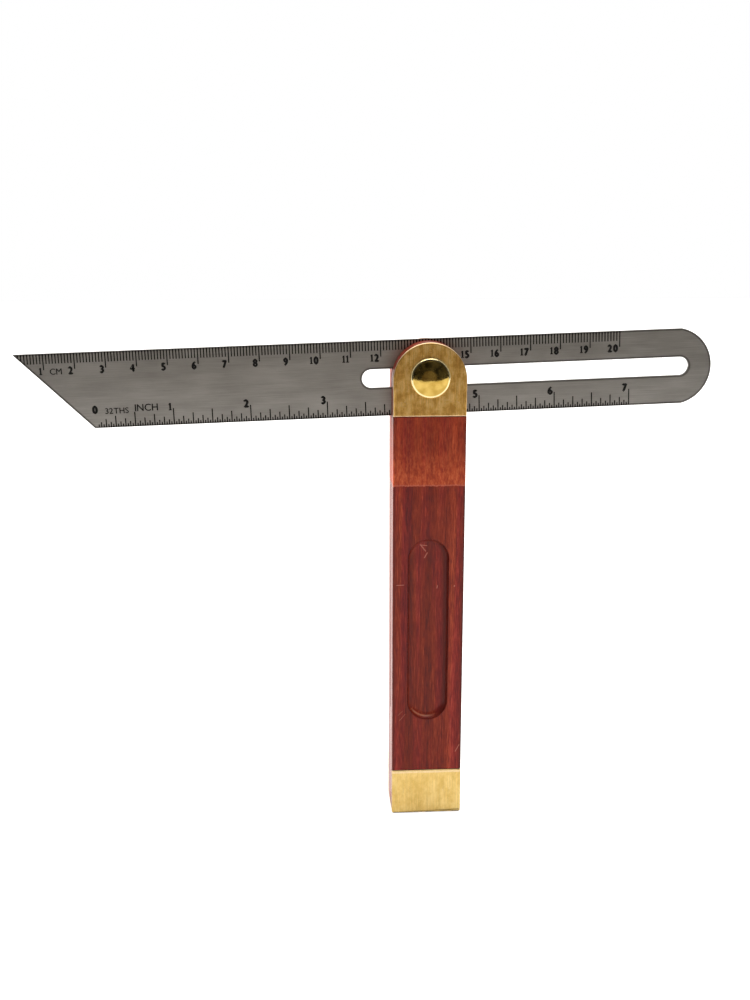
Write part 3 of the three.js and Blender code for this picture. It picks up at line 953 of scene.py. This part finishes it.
def blade():
    half = BLADE_WIDTH / 2
    tip = BLADE_TIP - PIVOT_ALONG_BLADE
    arc_x = BLADE_LENGTH - PIVOT_ALONG_BLADE - BLADE_END_RADIUS
    arc_angle = math.asin(half / BLADE_END_RADIUS)
    outline = [(tip, half), (tip + BLADE_BEVEL_RUN, -half)]
    outline += arc((arc_x, 0), BLADE_END_RADIUS, -arc_angle, arc_angle)
    steel = slab("slotted_blade", outline, -BLADE_THICKNESS / 2, BLADE_THICKNESS / 2)
    middle = (SLOT_START + SLOT_END) / 2 - PIVOT_ALONG_BLADE
    slot_outline = [(z + middle, x) for x, z in obround(SLOT_WIDTH, SLOT_END - SLOT_START)]
    cut(steel, [slab("slot", slot_outline, -BLADE_THICKNESS, BLADE_THICKNESS)])
    round_edges(steel, BLADE_EDGE_RADIUS, segments=2)
    finish_piece(steel, STEEL, "blade", "blade", BLADE_PLACE)


def add_line(bm, along, z0, z1):
    """One inked line of a scale, let into the blade's front face."""
    middle = Vector((along - PIVOT_ALONG_BLADE, INK_Y, (z0 + z1) / 2))
    size = Matrix.Diagonal((TICK_WIDTH, INK_THICKNESS, abs(z1 - z0), 1))
    bmesh.ops.create_cube(bm, size=1.0, matrix=Matrix.Translation(middle) @ size)


def scale_lines():
    """Millimetres along the blade's upper edge, thirty-seconds of an inch along its lower one."""
    bm = bmesh.new()
    top = BLADE_WIDTH / 2
    inset = BLADE_EDGE_RADIUS
    slant = BLADE_WIDTH / BLADE_BEVEL_RUN
    for count in range(1, CM_COUNT * 10 + 1):
        along = count * MM
        room = (along - BLADE_TIP - TICK_WIDTH) * slant  # the slanted tip cuts the first lines short
        length = min(CM_TICK if count % 10 == 0 else MM_TICK, room)
        add_line(bm, along, top - length, top - inset)
    for count in range(1, INCH_COUNT * 32 + 1):
        length = next(size for step, size in INCH_TICKS if count % step == 0)
        along = INCH_SCALE_START + count * INCH / 32
        add_line(bm, along, -top + inset, -top + length)
    lines = mesh_object("scale_lines", bm)
    finish_piece(lines, INK, "blade", None, BLADE_PLACE)


def glyph(character):
    """One character of the built-in font as a mesh in X and Y, 1 thick, its left side at x = 0."""
    curve = bpy.data.curves.new("glyph", "FONT")
    curve.body = character
    curve.extrude = 0.5
    curve.resolution_u = 5
    writer = new_object("glyph", curve)
    mesh = shown_mesh(writer)
    bpy.data.objects.remove(writer)
    left = min(vert.co.x for vert in mesh.vertices)
    mesh.transform(Matrix.Translation((-left, 0, 0)))
    return new_object("glyph", mesh)


def figure_one():
    """The scales' own figure 1, with a flag and a foot, 1 thick."""
    stem = 0.2
    foot = 0.08
    width = 0.36
    left = width / 2 - stem / 2
    right = width / 2 + stem / 2
    top = FONT_HEIGHT
    outline = [(0, 0), (width, 0), (width, foot), (right, foot), (right, top)]
    outline += [(width / 2 - stem / 3, top), (0.0, top - 0.13), (0.03, top - 0.20)]
    outline += [(left, top - 0.12), (left, foot), (0, foot)]
    bm = bmesh.new()
    push_out(bm, [(x, y, -0.5) for x, y in outline], (0, 0, 1))
    return mesh_object("figure_one", bm)


def bold(character, shift):
    """A heavier character: copies set a little apart and joined, so its upright strokes thicken most."""
    obj = glyph(character)
    copies = []
    for across, up in ((1, 0), (0.5, 0.35), (0.5, -0.35)):
        other = new_object("glyph", obj.data.copy())
        other.data.transform(Matrix.Translation((across * shift, up * shift, 0)))
        copies.append(other)
    return combine(obj, copies, "UNION")


def font():
    """Meshes and widths of every character on the scales: heavy figures, lighter letters."""
    made = {"1": figure_one()}
    for character in "023456789":
        made[character] = bold(character, BOLD_SHIFT)
    for character in "CMINHTS":
        made[character] = bold(character, LETTER_SHIFT)
    for character in "32":
        made["light " + character] = bold(character, LETTER_SHIFT)
    meshes = {}
    for character, obj in made.items():
        meshes[character] = (obj.data, max(vert.co.x for vert in obj.data.vertices))
        bpy.data.objects.remove(obj)
    return meshes


def write(bm, meshes, characters, height, right, bottom, narrow=1.0):
    """Sets a row of characters, height tall, that ends at right along the blade and stands on bottom."""
    size = height / FONT_HEIGHT
    width = sum(meshes[character][1] for character in characters) + FONT_GAP * (len(characters) - 1)
    x = right - PIVOT_ALONG_BLADE - width * size * narrow
    for character in characters:
        mesh = meshes[character][0].copy()
        mesh.transform(Matrix.Diagonal((size * narrow, size, INK_THICKNESS, 1)))
        mesh.transform(Matrix.Rotation(math.radians(90), 4, "X"))
        mesh.transform(Matrix.Translation((x, INK_Y, bottom)))
        bm.from_mesh(mesh)
        bpy.data.meshes.remove(mesh)
        x += (meshes[character][1] + FONT_GAP) * size * narrow


def scale_numerals():
    """Both scales' numbers and units."""
    bm = bmesh.new()
    meshes = font()
    top = BLADE_WIDTH / 2
    cm_bottom = top - CM_DIGIT_TOP - CM_DIGIT_HEIGHT
    for number in range(1, CM_COUNT + 1):
        right = number * 10 * MM - CM_DIGIT_GAP
        write(bm, meshes, str(number), CM_DIGIT_HEIGHT, right, cm_bottom, CM_DIGIT_NARROW)
    write(bm, meshes, "CM", CM_LABEL_HEIGHT, CM_LABEL_END, cm_bottom)
    inch_bottom = -top + INCH_DIGIT_BOTTOM
    for number in range(1, INCH_COUNT + 1):
        right = INCH_SCALE_START + number * INCH - INCH_DIGIT_GAP
        write(bm, meshes, str(number), INCH_DIGIT_HEIGHT, right, inch_bottom, INCH_DIGIT_NARROW)
    zero_end = INCH_SCALE_START + INCH_ZERO_END
    write(bm, meshes, "0", INCH_DIGIT_HEIGHT, zero_end, inch_bottom, INCH_DIGIT_NARROW)
    thirty_seconds = ("light 3", "light 2", "T", "H", "S")
    for label, (height, right, bottom) in ((thirty_seconds, THIRTY_SECONDS_LABEL), ("INCH", INCH_LABEL)):
        write(bm, meshes, label, height, INCH_SCALE_START + right, -top + bottom)
    numerals = mesh_object("scale_numerals", bm)
    finish_piece(numerals, INK, "blade", None, BLADE_PLACE)


# ---- bolt, washer and wing nut ----

def thread_rings(front, back):
    """Turns of a helix at rising levels, for a thread that fades into its core at both ends."""
    turns = math.ceil((back - front) / THREAD_PITCH) + 1
    rings = []
    for level in range(-THREAD_LEVELS, turns * THREAD_LEVELS + 1):
        share = (level % THREAD_LEVELS) / THREAD_LEVELS
        crest = 1 - abs(2 * share - 1)
        ring = []
        for step in range(ROUND_STEPS + 1):
            angle = 2 * math.pi * step / ROUND_STEPS
            y = front + (level / THREAD_LEVELS + step / ROUND_STEPS) * THREAD_PITCH
            y = max(front, min(back, y))
            fade = min(1.0, (y - front) / THREAD_PITCH, (back - y) / THREAD_PITCH)
            radius = THREAD_CORE + THREAD_DEPTH * crest * fade
            ring.append((radius * math.cos(angle), y, radius * math.sin(angle)))
        rings.append(ring)
    return rings


def thread_sleeve(front, back):
    """The thread as a closed solid."""
    bm = bmesh.new()
    join_rings(bm, thread_rings(front, back), closed=False)
    bmesh.ops.remove_doubles(bm, verts=bm.verts, dist=THREAD_WELD)
    bmesh.ops.dissolve_degenerate(bm, edges=bm.edges, dist=THREAD_WELD)
    bmesh.ops.holes_fill(bm, edges=bm.edges)
    return mesh_object("thread", bm)


def dome_rings(seat):
    """A shallow sphere's cap, then a rounded rim down to the seat."""
    sphere = (DOME_RADIUS ** 2 + DOME_HEIGHT ** 2) / (2 * DOME_HEIGHT)
    dome_edge = DOME_RADIUS - DOME_RIM
    edge_rise = math.sqrt(sphere ** 2 - dome_edge ** 2) - (sphere - DOME_HEIGHT)
    rings = []
    for step in range(DOME_STEPS + 1):
        radius = max(dome_edge * step / DOME_STEPS, WELD / 10)
        rise = math.sqrt(sphere ** 2 - radius ** 2) - (sphere - DOME_HEIGHT)
        rings.append(circle_ring(radius, seat - DOME_RIM - rise))
    for step in range(1, DOME_RIM_STEPS + 1):
        turn = math.pi / 2 * step / DOME_RIM_STEPS
        rise = (DOME_RIM + edge_rise) * math.cos(turn)
        rings.append(circle_ring(dome_edge + DOME_RIM * math.sin(turn), seat - rise))
    return rings


def bolt():
    """Domed head, round shank, two flats that ride in the blade's slot, then the thread."""
    seat = FRONT - JOINT_LINE
    end = bolt_high.y
    kerf = KERF_WIDTH / 2
    thread_end = end - BOLT_END_BEVEL
    flat = FLATS_WIDTH / 2
    shank = (
        (SHANK_RADIUS, seat, None),
        (SHANK_RADIUS, -kerf, None),
        (SHANK_RADIUS, -kerf, flat),
        (SHANK_RADIUS, kerf, flat),
        (THREAD_CORE, kerf, None),
        (THREAD_CORE, thread_end, None),
        (THREAD_CORE - BOLT_END_BEVEL, end, None),
    )
    body = loft("domed_bolt", dome_rings(seat) + [circle_ring(*ring) for ring in shank])
    combine(body, [thread_sleeve(kerf, thread_end)], "UNION")
    finish_piece(body, DOME_BRASS, "bolt", "pivot_bolt", SWUNG)


def washer():
    hole = THREAD_RADIUS + TURNING_CLEARANCE
    front = washer_low.y
    back = washer_high.y
    edge = WASHER_EDGE_RADIUS
    flat = WASHER_RADIUS - edge
    profile = [(hole, back), (hole, front)]
    profile += arc((flat, front + edge), edge, -math.pi / 2, 0, 4)
    profile += arc((flat, back - edge), edge, 0, math.pi / 2, 4)
    disc = turned("flat_washer", profile)
    finish_piece(disc, TURNED_BRASS, "washer", "washer", SWUNG)


def wing_outline():
    inside = NUT_TOP_RADIUS / 2
    outline = [(inside, WING_FOOT), (NUT_BASE_RADIUS, WING_FOOT)]
    outline += arc((WING_EAR_OUT, WING_EAR_UP), WING_EAR_RADIUS, WING_EAR_START, WING_EAR_STOP, 32)
    outline.append((inside, NUT_HEIGHT - WING_FOOT))
    return outline


def wing_nut():
    """Hub and ears joined, then remeshed and smoothed to the soft fillets of a casting."""
    base = nut_low.y
    top = base + NUT_HEIGHT
    hub = turned("cast_wing_nut", [
        (0, base),
        (NUT_BASE_RADIUS, base),
        (NUT_BASE_RADIUS, base + NUT_SKIRT),
        (NUT_TOP_RADIUS, top - NUT_EDGE_BEVEL),
        (NUT_TOP_RADIUS - NUT_EDGE_BEVEL, top),
        (0, top),
    ])
    half = WING_THICKNESS / 2
    ears = []
    for turn in (0, math.pi):
        ear = slab("ear", wing_outline(), -half, half, WING_EDGE_RADIUS)
        lay_down = Matrix.Rotation(math.radians(-90), 4, "X")
        ear.data.transform(Matrix.Rotation(turn, 4, "Y") @ Matrix.Translation((0, base, 0)) @ lay_down)
        ears.append(ear)
    combine(hub, ears, "UNION")
    remesh = hub.modifiers.new("remesh", "REMESH")
    remesh.mode = "VOXEL"
    remesh.voxel_size = CASTING_VOXEL
    soften = hub.modifiers.new("soften", "SMOOTH")
    soften.factor = 0.5
    soften.iterations = CASTING_SMOOTHINGS
    bake(hub)
    cut(hub, [bar(THREAD_RADIUS + NUT_BORE_CLEARANCE, base - MM, top + MM)])
    place = SWUNG @ Matrix.Rotation(WING_ANGLE, 4, "Y")
    finish_piece(hub, CAST_BRASS, "wing_nut", "wing_nut", place)


# ---- stage ----

CAMERA_PLACE = Vector((-42.93, -397.21, 206.68)) * MM
CAMERA_TURN = math.radians(3.65)  # to the right of straight ahead
CAMERA_DOWN = math.radians(13.323)
CAMERA_LENS = 43.30
CAMERA_SENSOR = 36
FLOOR_FRONT = 550 * MM
FLOOR_SIDE = 1700 * MM
FLOOR_BACK = 2600 * MM
FLOOR_LIFT = 0.5
CARD_FRONT = 620 * MM
CARD_SIDE = 300 * MM
CARD_TOP = 400 * MM
CARD_THICKNESS = 4 * MM
CARD_EDGE_RADIUS = 0.5 * MM
WHITE = (1, 1, 1, 1)
BLACK = (0, 0, 0, 1)
ROOM_TINT = (1.0, 0.965, 0.91, 1)
LEFT_SUN_TINT = (1.0, 0.87, 0.74)


def camera():
    data = bpy.data.cameras.new("camera")
    data.lens = CAMERA_LENS
    data.sensor_width = CAMERA_SENSOR
    data.clip_start = 0.01
    obj = new_object("camera", data)
    obj.location = CAMERA_PLACE
    obj.rotation_euler = (math.radians(90) - CAMERA_DOWN, 0, -CAMERA_TURN)
    scene.camera = obj


def lift_to_white(plane):
    """Seen by the camera the floor glows a little, so that it is as white as the paper behind it."""
    g = Graph(plane.data.materials[0])
    shader = g.tree.nodes["Principled BSDF"]
    seen = g.add("LightPath").outputs["Is Camera Ray"]
    shader.inputs["Emission Color"].default_value = WHITE
    g.plug(shader.inputs["Emission Strength"], g.times(seen, FLOOR_LIFT))


def floor():
    corners = [
        (-FLOOR_SIDE, -FLOOR_FRONT),
        (FLOOR_SIDE, -FLOOR_FRONT),
        (FLOOR_SIDE, FLOOR_BACK),
        (-FLOOR_SIDE, FLOOR_BACK),
    ]
    bm = bmesh.new()
    bm.faces.new([bm.verts.new((x, y, 0)) for x, y in corners])
    plane = mesh_object("floor", bm)
    dress(plane, surface("pale_floor", floor_nodes, Roughness=0.9, Specular_IOR_Level=0.1))
    lift_to_white(plane)


def card():
    """A round-topped warm grey card out of view in front, which flat brass and steel mirror."""
    outline = [(-CARD_SIDE, 0), (CARD_SIDE, 0)] + arc((0, CARD_TOP - CARD_SIDE), CARD_SIDE, 0, math.pi)
    board = slab("card", outline, -CARD_FRONT - CARD_THICKNESS, -CARD_FRONT, CARD_EDGE_RADIUS)
    board.visible_camera = False
    board.visible_diffuse = False
    board.visible_shadow = False
    paper = surface(
        "card_paper", card_nodes, Base_Color=BLACK, Emission_Strength=1.0, Specular_IOR_Level=0.0
    )
    dress(board, paper)


def world():
    """White for the camera. Metal mirrors white sides and back, and a dark room behind the camera."""
    scene.world = bpy.data.worlds.new("studio")
    g = Graph(scene.world)
    g.tree.nodes.clear()
    seen = g.add("LightPath").outputs["Is Camera Ray"]
    paper = g.add("Background", {"Color": WHITE, "Strength": 1.0}).outputs[0]
    direction = g.add("TexCoord").outputs["Generated"]
    axes = g.add("SeparateXYZ", {0: direction}).outputs
    clutter = g.add("TexNoise", {"Vector": direction, "Scale": 3.5, "Detail": 3.0}).outputs["Fac"]
    dark = g.ranged(clutter, 0.38, 0.62, 0.015, 0.085)
    sides = g.ranged(axes["Y"], -0.42, 0.05, smooth=True)
    overhead = g.ranged(axes["Z"], 0.8, 1.0, 0.0, 1.0)
    strength = g.larger(g.plus(g.times(sides, 0.65), dark), overhead)
    room = g.add("Background", {"Color": ROOM_TINT, "Strength": strength}).outputs[0]
    shader = g.add("MixShader", {0: seen, 1: room, 2: paper}).outputs[0]
    g.add("OutputWorld", {"Surface": shader})


def area_light(name, place, aim, size, power, glossy):
    data = bpy.data.lights.new(name, "AREA")
    data.shape = "RECTANGLE"
    data.size, data.size_y = size
    data.energy = power
    obj = new_object(name, data)
    obj.location = place
    obj.rotation_euler = (Vector(aim) - Vector(place)).to_track_quat("-Z", "Y").to_euler()
    obj.visible_glossy = glossy


def sun_light(name, direction, energy, degrees, glossy, colour=(1.0, 1.0, 1.0)):
    """A soft sun whose light travels along the direction, as wide in the sky as the degrees say."""
    data = bpy.data.lights.new(name, "SUN")
    data.energy = energy
    data.color = colour
    data.angle = math.radians(degrees)
    obj = new_object(name, data)
    obj.rotation_euler = Vector(direction).to_track_quat("-Z", "Y").to_euler()
    obj.visible_glossy = glossy


def lights():
    sun_light("overhead", (0, -0.08, -1.0), energy=2.4, degrees=60, glossy=True)
    sun_light(
        "left_behind", (0.985, -0.17, -0.05), energy=6.0, degrees=12, glossy=False, colour=LEFT_SUN_TINT
    )
    area_light("front_fill", (0.5, -1.3, 0.9), (0, 0, 0.1), size=(1.2, 0.8), power=14, glossy=False)


def view_settings():
    scene.view_settings.view_transform = "Standard"
    scene.view_settings.look = "None"


camera()
floor()
card()
world()
lights()
view_settings()
stock()
head_plates()
end_cap()
pins_and_rivets()
blade()
scale_lines()
scale_numerals()
bolt()
washer()
wing_nut()

bpy.context.view_layer.update()
